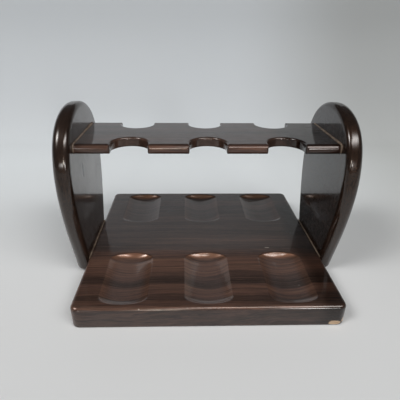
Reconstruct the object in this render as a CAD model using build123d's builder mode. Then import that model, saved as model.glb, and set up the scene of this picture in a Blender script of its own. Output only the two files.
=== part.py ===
from build123d import *
import os

# Two-sided wooden stand for six tobacco pipes.
# X runs along the length, Y from front to back, Z up. The origin is on the
# table, under the middle of the base. Millimetres.

# ---- driving dimensions -------------------------------------------------

# base board, between the two side panels
base_length = 220.0
base_depth = 210.0
base_thickness = 20.0
base_corner_r = 6.5        # plan rounding of the four corners
base_top_r = 3.6           # rounding of the upper arris
base_bottom_r = 1.6        # rounding of the lower arris

# bowl hollows: troughs with the shape of a round-ended drum on a Y axis
hollow_pitch = 69.6
hollow_depth = 5.5
hollow_drum_r = 39.2
hollow_end_r = 10.0        # rounding at the drum's two ends
hollow_inner_y = 30.5      # rim of a hollow nearest the middle of the base
hollow_outer_y = 99.2      # rim of a hollow nearest the base's edge
hollow_rim_r = 2.2         # softened rim

# rack board, with the stem notches
rack_depth = 75.0
rack_top_z = 129.8
rack_thickness = 8.4
rack_edge_r = 1.7          # rounding of all its free edges
rack_front_r = 3.9         # the two long edges are nearly half round
notch_pitch = 65.2
notch_width = 30.8
notch_depth = 22.0
notch_mouth_r = 2.8        # plan rounding where a notch meets the edge

# side panels
panel_thickness = 14.6
panel_top_z = 156.2
panel_foot_half = 32.0     # half width at the table
panel_foot_r = 7.0         # plan rounding of the two foot corners
panel_outer_r = 6.9        # large rounding towards the outer face
panel_inner_r = 4.4        # rounding towards the inner face
# half width (Y) at each height (Z), from the foot to the shoulder
panel_sides = [(38.2, 20.0), (45.8, 45.0), (51.7, 70.0), (54.3, 90.0),
               (53.8, 108.0), (49.6, 125.0), (40.6, 140.0), (22.5, 152.2)]

# dowels hidden in the glued joints
base_dowel_r = 4.0
base_dowel_length = 30.0
base_dowel_y = 20.0        # either side of the middle
base_dowel_z = 9.0
rack_dowel_r = 2.5
rack_dowel_length = 24.0
rack_dowel_y = 20.0
dowel_in_panel = 9.0       # how far each dowel goes into its panel
dowel_clearance = 0.05     # radial room in the bore
dowel_end_room = 0.6       # room past each dowel's end

# ---- derived dimensions -------------------------------------------------

half_length = base_length / 2
rack_bottom_z = rack_top_z - rack_thickness
rack_mid_z = rack_top_z - rack_thickness / 2
rack_half = rack_depth / 2

os.makedirs("parts", exist_ok=True)

# ---- base board ---------------------------------------------------------

# The drum's axis lies this high, so that its lowest line is hollow_depth
# under the board's upper face.
drum_axis_z = base_thickness - hollow_depth + hollow_drum_r
# How far the rim of a hollow reaches past the straight part of the drum.
end_rise = hollow_end_r - hollow_depth
end_reach = (hollow_end_r**2 - end_rise**2) ** 0.5

with BuildPart() as base_board:
    with BuildSketch(Plane.XY):
        RectangleRounded(base_length, base_depth, base_corner_r)
    extrude(amount=base_thickness)
    fillet(base_board.faces().sort_by(Axis.Z)[-1].edges(), base_top_r)
    fillet(base_board.faces().sort_by(Axis.Z)[0].edges(), base_bottom_r)

    # six hollows, three on each side
    for x in (-hollow_pitch, 0, hollow_pitch):
        for side in (-1, 1):
            y_in = side * (hollow_inner_y + end_reach)
            y_out = side * (hollow_outer_y - end_reach)
            y_lo, y_hi = min(y_in, y_out), max(y_in, y_out)
            floor_z = drum_axis_z - hollow_drum_r
            with BuildSketch(Plane.YZ.offset(x)):
                with BuildLine():
                    Line((y_lo, floor_z), (y_hi, floor_z))
                    RadiusArc((y_hi, floor_z),
                              (y_hi + hollow_end_r, floor_z + hollow_end_r),
                              -hollow_end_r)
                    Line((y_hi + hollow_end_r, floor_z + hollow_end_r),
                         (y_hi + hollow_end_r, drum_axis_z))
                    Line((y_hi + hollow_end_r, drum_axis_z),
                         (y_lo - hollow_end_r, drum_axis_z))
                    Line((y_lo - hollow_end_r, drum_axis_z),
                         (y_lo - hollow_end_r, floor_z + hollow_end_r))
                    RadiusArc((y_lo - hollow_end_r, floor_z + hollow_end_r),
                              (y_lo, floor_z), -hollow_end_r)
                make_face()
            revolve(axis=Axis((x, 0, drum_axis_z), (0, 1, 0)),
                    mode=Mode.SUBTRACT)

    # soften each hollow's rim
    top_face = base_board.faces().filter_by(
        lambda f: abs(f.center().Z - base_thickness) < 0.01
        and abs(f.normal_at().Z - 1) < 0.01).sort_by(SortBy.AREA)[-1]
    rims = [e for w in top_face.inner_wires() for e in w.edges()]
    fillet(rims, hollow_rim_r)

    # blind bores for the dowels, in both ends
    for side in (-1, 1):
        depth = base_dowel_length - dowel_in_panel + dowel_end_room
        with BuildSketch(Plane.YZ.offset(side * half_length)):
            with Locations((-base_dowel_y, base_dowel_z),
                           (base_dowel_y, base_dowel_z)):
                Circle(base_dowel_r + dowel_clearance)
        extrude(amount=-side * depth, mode=Mode.SUBTRACT)

base_board.part.label = "base_board"
export_step(base_board.part, "parts/base_board.step")

# ---- rack board ---------------------------------------------------------

with BuildPart() as rack_board:
    with BuildSketch(Plane.XY.offset(rack_bottom_z)) as rack_plan:
        Rectangle(base_length, rack_depth)
        # U-shaped notches: straight sides and a half-round end
        for x in (-notch_pitch, 0, notch_pitch):
            for side in (-1, 1):
                tip_y = side * (rack_half - notch_depth + notch_width / 2)
                with Locations((x, tip_y)):
                    Circle(notch_width / 2, mode=Mode.SUBTRACT)
                with Locations((x, tip_y + side * notch_depth / 2)):
                    Rectangle(notch_width, notch_depth, mode=Mode.SUBTRACT)
        mouths = rack_plan.vertices().filter_by(
            lambda v: abs(abs(v.Y) - rack_half) < 0.01
            and abs(v.X) < half_length - 1)
        fillet(mouths, notch_mouth_r)
    extrude(amount=rack_thickness)
    # round every free edge; the two ends butt against the panels
    free = rack_board.edges().filter_by(
        lambda e: (abs(e.center().Z - rack_top_z) < 0.01
                   or abs(e.center().Z - rack_bottom_z) < 0.01)
        and abs(abs(e.center().X) - half_length) > 0.01)
    fillet(free, rack_edge_r)

    # the long edges are rounded further, to a bullnose
    with BuildSketch(Plane.YZ.offset(-half_length)) as bar:
        with Locations((0, rack_mid_z)):
            Rectangle(rack_depth, rack_thickness)
        fillet(bar.vertices(), rack_front_r)
    extrude(amount=base_length, mode=Mode.INTERSECT)

    for side in (-1, 1):
        depth = rack_dowel_length - dowel_in_panel + dowel_end_room
        with BuildSketch(Plane.YZ.offset(side * half_length)):
            with Locations((-rack_dowel_y, rack_mid_z),
                           (rack_dowel_y, rack_mid_z)):
                Circle(rack_dowel_r + dowel_clearance)
        extrude(amount=-side * depth, mode=Mode.SUBTRACT)

rack_board.part.label = "rack_board"
export_step(rack_board.part, "parts/rack_board.step")

# ---- side panels --------------------------------------------------------

# One outline serves both: flat foot, swelling sides, arched top.
right_side = [(panel_foot_half, 0.0)] + panel_sides
left_side = [(-y, z) for y, z in reversed(right_side)]
foot_dir = (panel_sides[0][0] - panel_foot_half, panel_sides[0][1])

with BuildPart() as right_side_panel:
    with BuildSketch(Plane.YZ.offset(half_length)) as right_outline:
        with BuildLine():
            Line((-panel_foot_half, 0), (panel_foot_half, 0))
            Spline(*right_side, (0, panel_top_z), *left_side,
                   tangents=(foot_dir, (foot_dir[0], -foot_dir[1])))
        make_face()
        fillet(right_outline.vertices(), panel_foot_r)
    extrude(amount=panel_thickness)
    fillet(right_side_panel.faces().sort_by(Axis.X)[-1].edges(),
           panel_outer_r)
    fillet(right_side_panel.faces().sort_by(Axis.X)[0].edges(),
           panel_inner_r)
    # blind bores for the base's and the rack's dowels
    with BuildSketch(Plane.YZ.offset(half_length)):
        with Locations((-base_dowel_y, base_dowel_z),
                       (base_dowel_y, base_dowel_z)):
            Circle(base_dowel_r + dowel_clearance)
        with Locations((-rack_dowel_y, rack_mid_z),
                       (rack_dowel_y, rack_mid_z)):
            Circle(rack_dowel_r + dowel_clearance)
    extrude(amount=dowel_in_panel + dowel_end_room, mode=Mode.SUBTRACT)

right_side_panel.part.label = "right_side_panel"
export_step(right_side_panel.part, "parts/right_side_panel.step")

with BuildPart() as left_side_panel:
    add(right_side_panel.part)
    mirror(about=Plane.YZ, mode=Mode.REPLACE)

left_side_panel.part.label = "left_side_panel"
export_step(left_side_panel.part, "parts/left_side_panel.step")

# ---- dowels -------------------------------------------------------------


def make_dowels(name, side, y, z, radius, length):
    """A pair of plain birch dowels across one glued joint."""
    outer_x = side * (half_length + dowel_in_panel)
    with BuildPart() as pair:
        with BuildSketch(Plane.YZ.offset(outer_x)):
            with Locations((-y, z), (y, z)):
                Circle(radius)
        extrude(amount=-side * length)
        chamfer(pair.edges().filter_by(GeomType.CIRCLE), radius * 0.2)
    pair.part.label = name
    export_step(pair.part, "parts/" + name + ".step")


for side, word in ((-1, "left"), (1, "right")):
    make_dowels("base_dowels_" + word, side, base_dowel_y, base_dowel_z,
                base_dowel_r, base_dowel_length)
    make_dowels("rack_dowels_" + word, side, rack_dowel_y, rack_mid_z,
                rack_dowel_r, rack_dowel_length)
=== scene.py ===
import math
import random

import bmesh
import bpy
from mathutils import Matrix, Vector


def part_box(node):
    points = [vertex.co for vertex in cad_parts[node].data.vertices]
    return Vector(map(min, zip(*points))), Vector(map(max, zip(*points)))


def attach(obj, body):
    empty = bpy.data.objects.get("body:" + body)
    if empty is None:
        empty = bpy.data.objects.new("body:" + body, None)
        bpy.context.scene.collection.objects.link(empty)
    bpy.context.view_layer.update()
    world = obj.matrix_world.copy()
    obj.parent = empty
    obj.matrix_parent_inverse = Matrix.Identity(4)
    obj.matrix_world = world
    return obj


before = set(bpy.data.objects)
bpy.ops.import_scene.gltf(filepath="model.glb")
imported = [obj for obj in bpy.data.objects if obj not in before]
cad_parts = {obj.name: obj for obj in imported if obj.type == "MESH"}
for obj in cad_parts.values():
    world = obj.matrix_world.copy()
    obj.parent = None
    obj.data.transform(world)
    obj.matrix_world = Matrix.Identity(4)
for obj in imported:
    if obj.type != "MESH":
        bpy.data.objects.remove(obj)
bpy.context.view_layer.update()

# ---- camera ---------------------------------------------------------------

CAM_AT = Vector((-0.018813, -0.315351, 0.218812))
YAW, PITCH, ROLL = 0.0292294, -0.4620011, 0.0103946
F_PX, CX, CY = 356.35, 194.903, 199.862

fwd = Vector((math.sin(YAW) * math.cos(PITCH), math.cos(YAW) * math.cos(PITCH),
              math.sin(PITCH)))
right = Vector((math.cos(YAW), -math.sin(YAW), 0.0))
up = right.cross(fwd)
cam_x = right * math.cos(ROLL) + up * math.sin(ROLL)
cam_y = -right * math.sin(ROLL) + up * math.cos(ROLL)

cam_data = bpy.data.cameras.new("camera")
cam = bpy.data.objects.new("camera", cam_data)
bpy.context.scene.collection.objects.link(cam)
m = Matrix.Identity(4)
for i in range(3):
    m[i][0], m[i][1], m[i][2], m[i][3] = cam_x[i], cam_y[i], -fwd[i], CAM_AT[i]
cam.matrix_world = m
cam_data.sensor_width = 36.0
cam_data.lens = F_PX / 400.0 * 36.0
cam_data.shift_x = (200.0 - CX) / 400.0
cam_data.shift_y = (CY - 200.0) / 400.0
cam_data.clip_start, cam_data.clip_end = 0.01, 60.0
bpy.context.scene.camera = cam

scene = bpy.context.scene
scene.view_settings.view_transform = "Standard"
scene.cycles.use_denoising = True
scene.cycles.max_bounces = 8
scene.cycles.sample_clamp_indirect = 6.0

# ---- node helpers ---------------------------------------------------------


class Tree:
    """Short ways to write a shader's nodes."""

    def __init__(self, name):
        self.mat = bpy.data.materials.new(name)
        self.mat.use_nodes = True
        self.nt = self.mat.node_tree
        self.nt.nodes.clear()
        self.out = self.nt.nodes.new("ShaderNodeOutputMaterial")
        self.bsdf = self.nt.nodes.new("ShaderNodeBsdfPrincipled")
        self.nt.links.new(self.bsdf.outputs[0], self.out.inputs[0])

    def put(self, socket, value):
        if isinstance(value, bpy.types.NodeSocket):
            self.nt.links.new(value, socket)
        else:
            socket.default_value = value

    def node(self, kind, **props):
        n = self.nt.nodes.new(kind)
        for k, v in props.items():
            setattr(n, k, v)
        return n

    def math(self, op, a, b=0.0, c=0.0, clamp=False):
        n = self.node("ShaderNodeMath", operation=op, use_clamp=clamp)
        for s, v in zip(n.inputs, (a, b, c)):
            self.put(s, v)
        return n.outputs[0]

    def xyz(self, x, y, z):
        n = self.node("ShaderNodeCombineXYZ")
        for s, v in zip(n.inputs, (x, y, z)):
            self.put(s, v)
        return n.outputs[0]

    def split(self, v):
        n = self.node("ShaderNodeSeparateXYZ")
        self.put(n.inputs[0], v)
        return n.outputs[0], n.outputs[1], n.outputs[2]

    def noise(self, vec, scale=1.0, detail=2.0, rough=0.5, distort=0.0):
        n = self.node("ShaderNodeTexNoise")
        self.put(n.inputs["Vector"], vec)
        n.inputs["Scale"].default_value = scale
        n.inputs["Detail"].default_value = detail
        n.inputs["Roughness"].default_value = rough
        n.inputs["Distortion"].default_value = distort
        return n.outputs["Fac"]

    def span(self, v, a, b, c=0.0, d=1.0, smooth=True):
        """v from a..b, mapped to c..d."""
        n = self.node("ShaderNodeMapRange",
                      interpolation_type="SMOOTHSTEP" if smooth else "LINEAR")
        self.put(n.inputs["Value"], v)
        n.inputs["From Min"].default_value = a
        n.inputs["From Max"].default_value = b
        n.inputs["To Min"].default_value = c
        n.inputs["To Max"].default_value = d
        return n.outputs[0]

    def ramp(self, v, stops):
        n = self.node("ShaderNodeValToRGB")
        self.put(n.inputs[0], v)
        e = n.color_ramp.elements
        while len(e) > 1:
            e.remove(e[-1])
        e[0].position, e[0].color = stops[0][0], (*stops[0][1], 1.0)
        for p, c in stops[1:]:
            x = e.new(p)
            x.color = (*c, 1.0)
        return n.outputs[0]

    def mix(self, f, a, b, kind="MIX"):
        n = self.node("ShaderNodeMix", data_type="RGBA", blend_type=kind)
        self.put(n.inputs[0], f)
        self.put(n.inputs[6], a if isinstance(a, bpy.types.NodeSocket) else (*a, 1.0))
        self.put(n.inputs[7], b if isinstance(b, bpy.types.NodeSocket) else (*b, 1.0))
        return n.outputs[2]

    def bump(self, height, distance, strength=1.0):
        n = self.node("ShaderNodeBump")
        n.inputs["Strength"].default_value = strength
        n.inputs["Distance"].default_value = distance
        self.put(n.inputs["Height"], height)
        return n.outputs[0]


def mm_coords(t):
    """Object coordinates in millimetres: x, y, z."""
    tc = t.node("ShaderNodeTexCoord")
    v = t.node("ShaderNodeVectorMath", operation="SCALE")
    t.put(v.inputs[0], tc.outputs["Object"])
    v.inputs["Scale"].default_value = 1000.0
    return t.split(v.outputs[0]), v.outputs[0]


def near(t, vec, at, reach):
    """1 at a point, fading to 0 at reach (x, y, z) millimetres from it."""
    s = t.node("ShaderNodeVectorMath", operation="SUBTRACT")
    t.put(s.inputs[0], vec)
    s.inputs[1].default_value = at
    d = t.node("ShaderNodeVectorMath", operation="DIVIDE")
    t.put(d.inputs[0], s.outputs[0])
    d.inputs[1].default_value = reach
    n = t.node("ShaderNodeVectorMath", operation="LENGTH")
    t.put(n.inputs[0], d.outputs[0])
    return t.math("SUBTRACT", 1.0, n.outputs["Value"], clamp=True)


# ---- lacquered striped rosewood ---------------------------------------------

INK = (0.0100, 0.0075, 0.0068)
UMBER = (0.0450, 0.0285, 0.0245)
RUSSET = (0.120, 0.0640, 0.0475)
AMBER = (0.220, 0.118, 0.070)


def wood(name, along, pith, seed, tone=1.0, bands=None, marks=None,
         edge_sheen=0.8, ends=None, under=(1.2, 0.0), front=0.0, dust_and_front_shade=False):
    """Dark striped wood. along is the grain's axis, pith is where the rings'
    centre line passes, in the two axes across the grain, in millimetres."""
    t = Tree(name)
    (x, y, z), vec = mm_coords(t)
    u, v, w = {"x": (x, y, z), "z": (z, y, x)}[along]

    # The rings wander slowly along the board.
    slow = t.noise(t.xyz(t.math("MULTIPLY", u, 0.0055), t.math("MULTIPLY", v, 0.022),
                         t.math("MULTIPLY_ADD", w, 0.022, seed)), 1.0, 2.0, 0.5)
    quick = t.noise(t.xyz(t.math("MULTIPLY", u, 0.03), t.math("MULTIPLY", v, 0.10),
                          t.math("MULTIPLY_ADD", w, 0.10, seed + 7.0)), 1.0, 2.0, 0.5)
    sway = t.math("ADD", t.math("MULTIPLY_ADD", slow, 16.0, -8.0),
                  t.math("MULTIPLY_ADD", quick, 2.4, -1.2))
    dv = t.math("SUBTRACT", t.math("ADD", v, sway), pith[0])
    dw = t.math("SUBTRACT", w, pith[1])
    r = t.math("SQRT", t.math("ADD", t.math("MULTIPLY", dv, dv),
                              t.math("MULTIPLY", dw, dw)))

    broad = t.noise(t.xyz(t.math("MULTIPLY", u, 0.0035), t.math("MULTIPLY", r, 0.105),
                          seed + 1.3), 1.0, 2.0, 0.55)
    mid = t.noise(t.xyz(t.math("MULTIPLY", u, 0.009), t.math("MULTIPLY", r, 0.62),
                        seed + 3.1), 1.0, 3.0, 0.6)
    fine = t.noise(t.xyz(t.math("MULTIPLY", u, 0.045), t.math("MULTIPLY", r, 2.1),
                         t.math("MULTIPLY", w, 0.35)), 1.0, 3.0, 0.62)
    hair = t.noise(t.xyz(t.math("MULTIPLY", u, 0.16), t.math("MULTIPLY", v, 5.5),
                         t.math("MULTIPLY", w, 5.5)), 1.0, 1.0, 0.5)
    tone_fac = t.math("ADD", t.math("MULTIPLY_ADD", broad, 0.60, 0.02),
                      t.math("ADD", t.math("MULTIPLY_ADD", mid, 0.62, -0.31),
                             t.math("MULTIPLY_ADD", fine, 0.62, -0.31)))
    if bands is not None:
        # a few streaks whose places are set
        b = t.ramp(t.math("MULTIPLY_ADD", t.math("ADD", v, t.math("MULTIPLY", sway, 0.45)),
                          1.0 / 220.0, 0.5),
                   [(p, (c, c, c)) for p, c in bands])
        bw = t.node("ShaderNodeRGBToBW")
        t.put(bw.inputs[0], b)
        tone_fac = t.math("ADD", tone_fac, t.math("MULTIPLY_ADD", bw.outputs[0], 0.66, -0.33))
    col = t.ramp(tone_fac, [(0.05, INK), (0.30, UMBER), (0.56, RUSSET), (0.86, AMBER)])
    if tone != 1.0:
        col = t.mix(1.0, col, (tone, tone, tone), "MULTIPLY")

    # threads of purple and grey-green heartwood, a millimetre or two wide
    thread = t.noise(t.xyz(t.math("MULTIPLY", u, 0.012), t.math("MULTIPLY", r, 0.75),
                           seed + 5.7), 1.0, 3.0, 0.65)
    col = t.mix(t.span(thread, 0.52, 0.70, 0.0, 0.55), col,
                t.mix(1.0, col, (0.80, 0.86, 1.05), "MULTIPLY"))
    col = t.mix(t.span(thread, 0.48, 0.30, 0.0, 0.55), col,
                t.mix(1.0, col, (0.74, 0.98, 0.98), "MULTIPLY"))

    # open pores: short dark dashes along the grain
    pore = t.noise(t.xyz(t.math("MULTIPLY", u, 0.24), t.math("MULTIPLY", v, 3.2),
                         t.math("MULTIPLY", w, 3.2)), 1.0, 2.0, 0.7)
    pores = t.span(pore, 0.62, 0.72)
    col = t.mix(t.math("MULTIPLY", pores, 0.55), col, INK)
    # silky fibres
    col = t.mix(t.span(hair, 0.35, 0.75, 0.0, 0.22), col, AMBER)

    # on curved surfaces (the hollows' walls, rounded edges) the colour is made warmer and
    # brighter: a painted sheen for the bronze glow of the lit hollow walls
    geo = t.node("ShaderNodeNewGeometry")
    nx, ny, nz = t.split(geo.outputs["Normal"])
    most = t.math("MAXIMUM", t.math("MAXIMUM", t.math("ABSOLUTE", nx),
                                    t.math("ABSOLUTE", ny)), t.math("ABSOLUTE", nz))
    curved_sheen_mask = t.span(t.math("SUBTRACT", 1.0, most), 0.03, 0.25)
    # the painted sheen is weaker on the outer arrises
    curved_sheen_mask = t.math("MULTIPLY", curved_sheen_mask, t.math("MULTIPLY",
                    t.span(t.math("ABSOLUTE", y), 101.0, 104.0, 1.0, 0.25),
                    t.span(t.math("ABSOLUTE", x), 105.0, 108.0, 1.0, 0.35)))
    painted_sheen_col = t.mix(0.6, t.mix(1.0, col, (1.9, 1.55, 1.35), "MULTIPLY"),
                 (0.22, 0.118, 0.072))
    col = t.mix(t.math("MULTIPLY", curved_sheen_mask, edge_sheen), col, painted_sheen_col)

    if front:
        # painted sheen: the faces facing the front along the long front edge, not in the
        # notches, are made lighter and warmer
        front_sheen_mask = t.math("MULTIPLY", t.span(ny, -0.45, -0.90), t.span(y, -33.0, -36.0))
        col = t.mix(t.math("MULTIPLY", front_sheen_mask, front), col,
                    t.mix(0.5, t.mix(1.0, col, (1.9, 1.5, 1.4), "MULTIPLY"),
                          (0.20, 0.105, 0.075)))

    if dust_and_front_shade:
        # a film of dust lies in the hollows' floors; the faces facing the front are made
        # darker and cooler, a painted shade
        film = t.math("MULTIPLY", t.span(z, 18.6, 15.5), t.span(nz, 0.80, 0.97))
        col = t.mix(film, col, t.mix(1.0, col, (0.026, 0.027, 0.029), "ADD"))
        col = t.mix(t.span(ny, -0.7, -0.98), col,
                    t.mix(1.0, col, (0.62, 0.68, 0.74), "MULTIPLY"))

    if ends is not None:
        # darker towards the ends: (from, to, how much) for -X and +X
        for sign, (a0, a1, much) in zip((-1.0, 1.0), ends):
            far = t.math("ADD", t.math("MULTIPLY", x, sign),
                         t.math("MULTIPLY_ADD", slow, 16.0, -8.0))
            col = t.mix(t.span(far, a0, a1, 0.0, much), col,
                        t.mix(1.0, col, (0.30, 0.27, 0.25), "MULTIPLY"))

    # lacquer: nearly even, with hazy patches where it was handled
    haze = t.noise(vec, 0.022, 3.0, 0.55)
    rough = t.math("ADD", t.span(haze, 0.35, 0.75, 0.30, 0.44),
                   t.math("MULTIPLY", pores, 0.06))

    bare = None
    rubbed = None
    if marks:
        for at, reach, limit, how in marks:
            wobble = t.noise(t.xyz(t.math("MULTIPLY", x, 0.5), t.math("MULTIPLY", y, 1.1),
                                   t.math("MULTIPLY", z, 1.6)), 1.0, 3.0, 0.6)
            k = t.math("MULTIPLY", near(t, vec, at, reach),
                       t.math("ADD", wobble, 0.5))
            k = t.span(k, limit, limit + (0.60 if how == "rubbed" else 0.10))
            if how == "bare":
                tan = t.mix(t.span(fine, 0.3, 0.7), (0.40, 0.26, 0.15), (0.60, 0.47, 0.33))
                col = t.mix(k, col, tan)
                bare = k if bare is None else t.math("MAXIMUM", bare, k)
            elif how == "pale":
                col = t.mix(t.math("MULTIPLY", k, 0.8), col, (0.42, 0.36, 0.31))
                bare = k if bare is None else t.math("MAXIMUM", bare, k)
            elif how == "rubbed":
                rubbed = k if rubbed is None else t.math("MAXIMUM", rubbed, k)
            elif how == "dull":
                col = t.mix(t.math("MULTIPLY", k, 0.5), col, INK)
                rough = t.math("ADD", rough, t.math("MULTIPLY", k, 0.25))
    if bare is not None:
        rough = t.math("ADD", rough, t.math("MULTIPLY", bare, 0.35), clamp=True)

    b = t.bsdf
    t.put(b.inputs["Base Color"], col)
    t.put(b.inputs["Roughness"], rough)
    # the fibres under the lacquer glint in the wood's own colour
    b.inputs["Metallic"].default_value = 0.5
    b.inputs["IOR"].default_value = under[0]
    b.inputs["Specular IOR Level"].default_value = 0.5
    b.inputs["Specular Tint"].default_value = (
        0.34 + 0.66 * under[1], 0.22 + 0.78 * under[1], 0.16 + 0.84 * under[1], 1.0)
    b.inputs["Coat Weight"].default_value = 1.0
    if rubbed is not None:
        # the lacquer is rubbed thin here, by hands lifting the stand
        t.put(b.inputs["Coat Weight"], t.math("MULTIPLY_ADD", rubbed, -0.80, 1.0))
    b.inputs["Coat Roughness"].default_value = 0.085
    b.inputs["Coat IOR"].default_value = 1.52
    height = t.math("ADD", t.math("MULTIPLY", fine, 0.25),
                    t.math("MULTIPLY", pores, -0.6))
    if bare is not None:
        height = t.math("ADD", height, t.math("MULTIPLY", bare, -3.0))
    t.put(b.inputs["Normal"], t.bump(height, 0.00010, 0.5))
    # the lacquer's own surface is smoother: slight sink along the grain
    sink = t.noise(t.xyz(t.math("MULTIPLY", u, 0.02), t.math("MULTIPLY", v, 0.25),
                         t.math("MULTIPLY", w, 0.25)), 1.0, 2.0, 0.5)
    if bare is not None:
        sink = t.math("ADD", sink, t.math("MULTIPLY", bare, -1.0))
    t.put(b.inputs["Coat Normal"], t.bump(sink, 0.00012, 0.30))
    return t.mat


# streaks across the base board: place from back edge 1.0 to front edge 0.0. The streaks are
# the board's own; their values also run darker over the back half, a painted shade under the
# rack board, and lighter at the front, a painted sheen
BASE_STREAKS_AND_SHADE = [
    (0.000, 0.42), (0.022, 0.40), (0.034, 0.60), (0.052, 0.62), (0.066, 0.42),
    (0.086, 0.40), (0.100, 0.64), (0.125, 0.70), (0.145, 0.68), (0.160, 0.38),
    (0.176, 0.38), (0.192, 0.45), (0.205, 0.60), (0.240, 0.70), (0.285, 0.70),
    (0.310, 0.76), (0.345, 0.56), (0.365, 0.50), (0.400, 0.32), (0.460, 0.42),
    (0.520, 0.30), (0.560, 0.40), (0.640, 0.26), (0.700, 0.38), (0.760, 0.28),
    (0.840, 0.38), (0.900, 0.26), (1.000, 0.36)]

BASE_MARKS = [
    ((101.0, -104.6, 3.2), (8.5, 5.0, 3.6), 0.36, "bare"),
    ((109.3, -101.5, 4.8), (5.0, 7.5, 4.2), 0.34, "bare"),
    ((98.0, -72.0, 20.0), (26.0, 52.0, 30.0), 0.20, "rubbed"),
    ((-100.0, -76.0, 20.0), (24.0, 52.0, 30.0), 0.20, "rubbed"),
    ((-55.6, -104.6, 18.9), (1.5, 1.5, 1.5), 0.45, "pale"),
    ((61.5, -22.5, 20.0), (4.6, 1.1, 1.0), 0.45, "pale"),
    ((-2.1, -52.3, 15.0), (0.9, 0.9, 0.9), 0.42, "pale"),
    ((79.2, -74.2, 16.0), (0.9, 0.9, 0.9), 0.42, "pale"),
]

wood_base = wood("lacquered_base", "x", (350.0, -45.0), 2.0, 1.34, BASE_STREAKS_AND_SHADE,
                 BASE_MARKS, ends=((90.0, 110.0, 0.0), (82.0, 98.0, 0.85)), dust_and_front_shade=True)
wood_rack = wood("lacquered_rack", "x", (260.0, 20.0), 11.0, 0.85,
                 edge_sheen=0.04, front=0.24,
                 ends=((200.0, 210.0, 0.0), (52.0, 74.0, 1.0)))
wood_left = wood("lacquered_left", "z", (-300.0, 40.0), 23.0, 0.13, None,
                 [((-110.0, -17.0, 100.0), (3.0, 3.5, 11.0), 0.30, "dull")], 0.03,
                 under=(1.35, 0.5))
wood_right = wood("lacquered_right", "z", (280.0, -60.0), 31.0, 0.11, None, None, 0.02)


def dowel_wood():
    t = Tree("bare_beech")
    (x, y, z), vec = mm_coords(t)
    fleck = t.noise(t.xyz(t.math("MULTIPLY", x, 0.25), t.math("MULTIPLY", y, 2.4),
                          t.math("MULTIPLY", z, 2.4)), 1.0, 3.0, 0.6)
    col = t.ramp(fleck, [(0.25, (0.42, 0.27, 0.15)), (0.55, (0.62, 0.45, 0.28)),
                         (0.85, (0.72, 0.56, 0.38))])
    t.put(t.bsdf.inputs["Base Color"], col)
    t.put(t.bsdf.inputs["Roughness"], t.span(fleck, 0.2, 0.8, 0.55, 0.75))
    t.put(t.bsdf.inputs["Normal"], t.bump(fleck, 0.0001, 0.5))
    return t.mat


def glue_finish():
    t = Tree("dried_glue")
    (x, y, z), vec = mm_coords(t)
    lump = t.noise(vec, 0.55, 3.0, 0.6)
    dirt = t.noise(vec, 0.12, 2.0, 0.5)
    col = t.ramp(lump, [(0.25, (0.085, 0.058, 0.042)), (0.55, (0.21, 0.155, 0.112)),
                        (0.85, (0.37, 0.30, 0.225))])
    col = t.mix(t.span(dirt, 0.45, 0.70, 0.0, 0.65), col, (0.055, 0.032, 0.022))
    t.put(t.bsdf.inputs["Base Color"], col)
    t.put(t.bsdf.inputs["Roughness"], t.span(lump, 0.2, 0.8, 0.30, 0.60))
    t.put(t.bsdf.inputs["Normal"], t.bump(lump, 0.0003, 0.6))
    return t.mat


beech = dowel_wood()
glue = glue_finish()

for node, mat in (("base_board", wood_base), ("rack_board", wood_rack),
                  ("left_side_panel", wood_left), ("right_side_panel", wood_right),
                  ("base_dowels_left", beech), ("base_dowels_right", beech),
                  ("rack_dowels_left", beech), ("rack_dowels_right", beech)):
    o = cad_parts[node]
    if not o.material_slots:
        o.data.materials.append(mat)
    for s in o.material_slots:
        s.material = mat

# ---- squeezed-out glue --------------------------------------------------------


def bead(name, points, radii, seed, sides=10, step=0.0006):
    """A closed, uneven bead of glue along a line of points, in metres."""
    rnd = random.Random(seed)
    pts = [Vector(p) for p in points]
    path, rad = [], []
    for i in range(len(pts) - 1):
        n = max(1, int((pts[i + 1] - pts[i]).length / step))
        for k in range(n):
            f = k / n
            path.append(pts[i].lerp(pts[i + 1], f))
            rad.append(radii[i] * (1 - f) + radii[i + 1] * f)
    path.append(pts[-1])
    rad.append(radii[-1])
    # uneven thickness: three slow waves with seeded phases, and small lumps
    ph = [rnd.uniform(0, 6.28) for _ in range(3)]
    run = 0.0
    bm = bmesh.new()
    rings = []
    for i, p in enumerate(path):
        if i:
            run += (p - path[i - 1]).length
        a = path[max(0, i - 1)]
        b = path[min(len(path) - 1, i + 1)]
        tdir = (b - a).normalized()
        side = tdir.cross(Vector((0.577, 0.577, 0.577))).normalized()
        top = tdir.cross(side).normalized()
        wob = (1.0 + 0.16 * math.sin(run * 900 + ph[0])
               + 0.12 * math.sin(run * 2300 + ph[1])
               + 0.10 * math.sin(run * 390 + ph[2]) + rnd.uniform(-0.05, 0.05))
        end = min(1.0, 0.25 + 0.75 * min(i, len(path) - 1 - i) / 4.0)
        r = rad[i] * wob * end
        rings.append([bm.verts.new(p + (side * math.cos(j * 2 * math.pi / sides)
                                        + top * math.sin(j * 2 * math.pi / sides)) * r)
                      for j in range(sides)])
    for i in range(len(rings) - 1):
        for j in range(sides):
            bm.faces.new((rings[i][j], rings[i][(j + 1) % sides],
                          rings[i + 1][(j + 1) % sides], rings[i + 1][j]))
    bm.faces.new(list(reversed(rings[0])))
    bm.faces.new(rings[-1])
    bmesh.ops.recalc_face_normals(bm, faces=bm.faces)
    me = bpy.data.meshes.new(name)
    bm.to_mesh(me)
    bm.free()
    for f in me.polygons:
        f.use_smooth = True
    me.materials.append(glue)
    ob = bpy.data.objects.new(name, me)
    bpy.context.scene.collection.objects.link(ob)
    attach(ob, "root")
    return ob


rack_lo, rack_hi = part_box("rack_board")
base_lo, base_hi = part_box("base_board")
MM = 0.001

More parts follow.
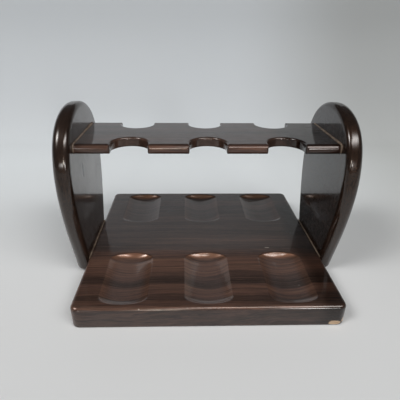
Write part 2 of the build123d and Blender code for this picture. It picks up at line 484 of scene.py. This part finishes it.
for sgn, side in ((-1, "left"), (1, "right")):
    xr = sgn * (rack_hi.x - 0.25 * MM)
    zt, zb = rack_hi.z, rack_lo.z
    yf, yb = rack_lo.y, rack_hi.y
    # along the top of the rack board's end, and down over its front edge
    line = [(xr, yb - 3.0 * MM, zt), (xr, yb - 14 * MM, zt), (xr, 0.010, zt),
            (xr, yf + 12 * MM, zt), (xr, yf + 2.2 * MM, zt - 0.05 * MM),
            (xr, yf + 0.7 * MM, zt - 0.6 * MM), (xr, yf + 0.1 * MM, zt - 2.0 * MM),
            (xr, yf + 0.1 * MM, zb + 2.0 * MM), (xr, yf + 0.9 * MM, zb + 0.5 * MM)]
    if sgn < 0:
        rads = [1.3, 1.25, 0.85, 0.75, 0.80, 0.8, 0.75, 0.7, 0.5]
    else:
        rads = [0.75, 0.70, 0.85, 1.15, 1.2, 1.1, 0.9, 0.8, 0.5]
    bead("glue_rack_" + side, line, [k * MM for k in rads], 5 + sgn)
    # along the groove between the base board's end and the panel
    xb = sgn * (base_hi.x - 0.35 * MM)
    zg = base_hi.z - 1.15 * MM
    line = [(xb, -0.0375, zg), (xb, -0.020, zg), (xb, 0.012, zg), (xb, 0.0375, zg)]
    bead("glue_base_" + side, line, [0.55 * MM, 0.55 * MM, 0.5 * MM, 0.5 * MM], 15 + sgn)

# ---- floor and backdrop -------------------------------------------------------


def paper(name):
    """Matt card, with painted shade: darker and bluer up the curve and wall, darker towards
    +X, and a dark painted shadow on the floor in front.
    """
    t = Tree(name)
    (x, y, z), vec = mm_coords(t)
    cloud = t.noise(vec, 0.004, 3.0, 0.5)
    col = t.mix(t.span(y, -120.0, 260.0), (0.722, 0.738, 0.752), (0.700, 0.740, 0.767))
    # painted shade: the card darkens up the curve and the wall, where less light reaches
    col = t.mix(t.span(y, 240.0, 570.0), col, (0.425, 0.452, 0.480))
    # painted shade towards +X, to the right of the stand
    side = t.math("MULTIPLY", t.span(x, 80.0, 400.0),
                  t.span(y, -150.0, 60.0, 0.45, 1.0))
    col = t.mix(side, col, t.mix(1.0, col, (0.69, 0.68, 0.655), "MULTIPLY"))
    # painted shadow across the floor in front of the stand
    col = t.mix(t.span(y, -168.0, -330.0, 0.0, 0.62), col, (0.20, 0.20, 0.20))
    col = t.mix(t.span(cloud, 0.3, 0.7, 0.0, 0.04), col, (0.5, 0.5, 0.5))
    t.put(t.bsdf.inputs["Base Color"], col)
    t.bsdf.inputs["Roughness"].default_value = 0.7
    t.bsdf.inputs["Specular IOR Level"].default_value = 0.2
    return t.mat


def sweep_sheet():
    """A pale sheet: flat under the object, curving up behind it."""
    prof = [(-2.6, 0.0), (-1.0, 0.0), (-0.2, 0.0), (0.30, 0.0)]
    y0, rad = 0.34, 0.26
    for i in range(1, 17):
        a = math.radians(i * 84.0 / 16)
        prof.append((y0 + rad * math.sin(a), rad * (1 - math.cos(a))))
    a = math.radians(84.0)
    d = (math.cos(a), math.sin(a))
    py, pz = prof[-1]
    prof.append((py + d[0] * (BACK_TOP - pz) / d[1], BACK_TOP))
    bm = bmesh.new()
    xs = [-2.4 + 4.8 * i / 24 for i in range(25)]
    rows = [[bm.verts.new((x, y, z)) for x in xs] for y, z in prof]
    for i in range(len(rows) - 1):
        for j in range(len(xs) - 1):
            bm.faces.new((rows[i][j], rows[i][j + 1], rows[i + 1][j + 1], rows[i + 1][j]))
    me = bpy.data.meshes.new("backdrop")
    bm.to_mesh(me)
    bm.free()
    for f in me.polygons:
        f.use_smooth = True
    ob = bpy.data.objects.new("backdrop", me)
    bpy.context.scene.collection.objects.link(ob)
    return ob


BACK_TOP = 0.472
sheet_ob = sweep_sheet()
sheet_ob.data.materials.append(paper("backdrop_paper"))

# ---- light ----------------------------------------------------------------------

# Soft round lights at infinity: azimuth from +Y towards +X, elevation, spread
# (degrees) and strength at the middle, each fading smoothly to nothing.
SPOTS = [
    (-119, 45, 6.0, 20.5, (1.0, 0.985, 0.965)),
    (122, 42, 5.5, 7.8, (1.0, 0.985, 0.965)),
    (139, 49, 6.0, 9.0, (1.0, 0.985, 0.965)),
    (154, 46, 5.0, 8.4, (1.0, 0.985, 0.965)),
    (174, 48, 4.0, 11.0, (1.0, 0.96, 0.91)),
    (-176, 13, 2.3, 30.0, (1.0, 0.92, 0.80)),
    (-163, 8, 1.6, 14.0, (1.0, 0.97, 0.93)),
    (161, 8, 2.4, 40.0, (1.0, 0.99, 0.97)),
]

world = bpy.data.worlds.new("room")
scene.world = world
world.use_nodes = True
wn = world.node_tree
wn.nodes.clear()


def wnode(kind, **props):
    n = wn.nodes.new(kind)
    for k, v in props.items():
        setattr(n, k, v)
    return n


w_out = wnode("ShaderNodeOutputWorld")
w_tc = wnode("ShaderNodeTexCoord")
w_dir = wnode("ShaderNodeVectorMath", operation="NORMALIZE")
wn.links.new(w_tc.outputs["Generated"], w_dir.inputs[0])
w_sep = wnode("ShaderNodeSeparateXYZ")
w_ramp = wnode("ShaderNodeValToRGB")
wn.links.new(w_dir.outputs[0], w_sep.inputs[0])
wn.links.new(w_sep.outputs[2], w_ramp.inputs[0])
e = w_ramp.color_ramp.elements
e[0].position, e[0].color = 0.0, (0.10, 0.103, 0.106, 1)
e[1].position, e[1].color = 0.45, (0.058, 0.060, 0.063, 1)
total = w_ramp.outputs[0]
for az, el, spread, power, tint in SPOTS:
    a, h = math.radians(az), math.radians(el)
    d = wnode("ShaderNodeVectorMath", operation="DOT_PRODUCT")
    wn.links.new(w_dir.outputs[0], d.inputs[0])
    d.inputs[1].default_value = (math.sin(a) * math.cos(h), math.cos(a) * math.cos(h),
                                 math.sin(h))
    k = 1.0 / math.radians(spread) ** 2
    g = wnode("ShaderNodeMath", operation="MULTIPLY_ADD")
    wn.links.new(d.outputs["Value"], g.inputs[0])
    g.inputs[1].default_value, g.inputs[2].default_value = k, -k
    x = wnode("ShaderNodeMath", operation="EXPONENT")
    wn.links.new(g.outputs[0], x.inputs[0])
    v = wnode("ShaderNodeVectorMath", operation="SCALE")
    v.inputs[0].default_value = [power * c for c in tint]
    wn.links.new(x.outputs[0], v.inputs["Scale"])
    add = wnode("ShaderNodeVectorMath", operation="ADD")
    wn.links.new(total, add.inputs[0])
    wn.links.new(v.outputs[0], add.inputs[1])
    total = add.outputs[0]
w_room = wnode("ShaderNodeBackground")
wn.links.new(total, w_room.inputs[0])
# plain pale surroundings in every view
w_seen = wnode("ShaderNodeBackground")
w_seen.inputs[0].default_value = (0.50, 0.53, 0.545, 1)
w_path = wnode("ShaderNodeLightPath")
w_mix = wnode("ShaderNodeMixShader")
wn.links.new(w_path.outputs["Is Camera Ray"], w_mix.inputs[0])
wn.links.new(w_room.outputs[0], w_mix.inputs[1])
wn.links.new(w_seen.outputs[0], w_mix.inputs[2])
wn.links.new(w_mix.outputs[0], w_out.inputs[0])
